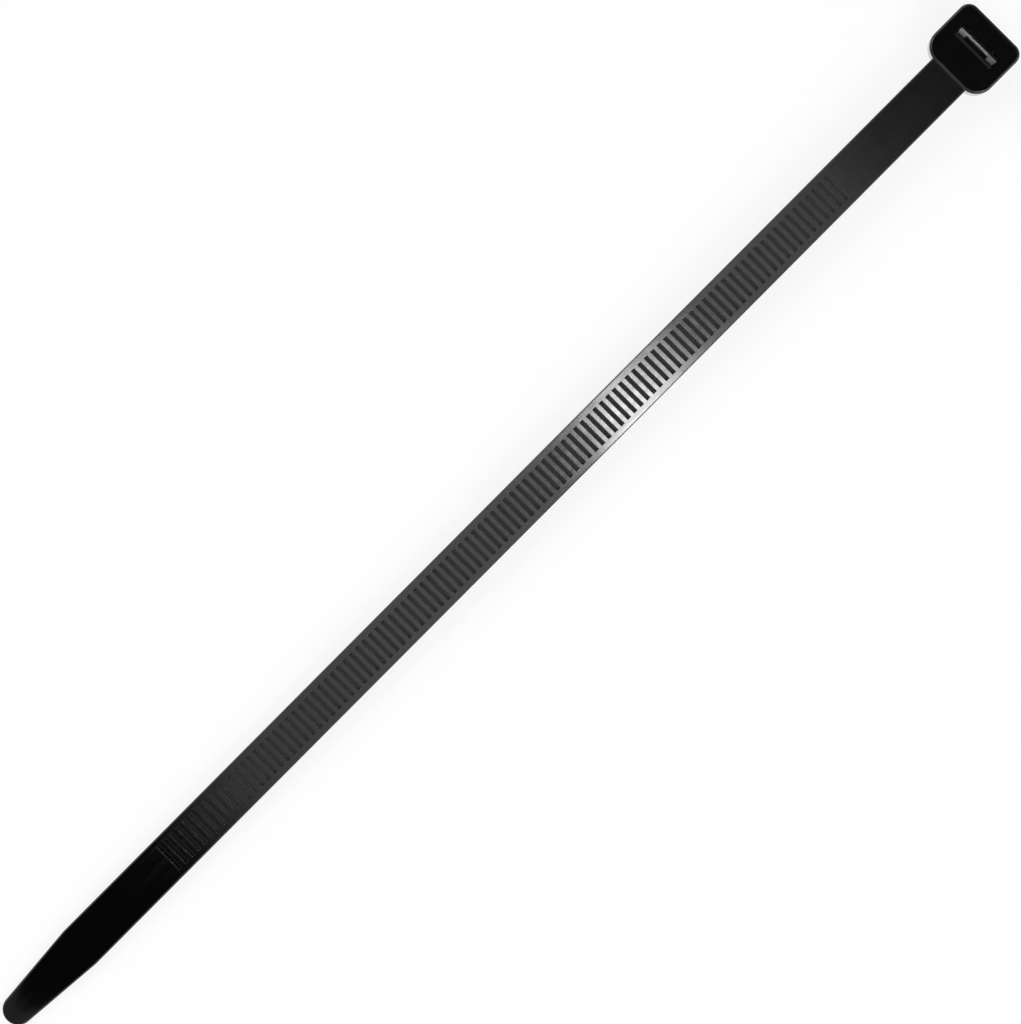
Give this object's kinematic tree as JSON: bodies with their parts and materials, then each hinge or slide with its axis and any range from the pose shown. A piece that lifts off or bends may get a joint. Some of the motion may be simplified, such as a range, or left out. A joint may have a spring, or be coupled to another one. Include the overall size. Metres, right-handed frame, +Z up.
{
  "type": "cable tie",
  "caption": "One-piece moulded nylon cable tie: toothed strap with a tapered tip, and a box head with a strap slot and a ratchet pawl.",
  "frame": {"origin": "under the middle of the strap's slot, on the plane that the tie rests on, which is the head's exit face", "axes": "+X along the strap from the head to the tip, +Y across the strap, +Z up through the slot, from the exit face to the entry face"},
  "size_m": [0.2399, 0.0134, 0.0074],
  "materials": {
    "nylon": "moulded black nylon, glossy"
  },
  "bodies": {
    "root": {"cable_tie": "nylon"}
  },
  "joints": []
}
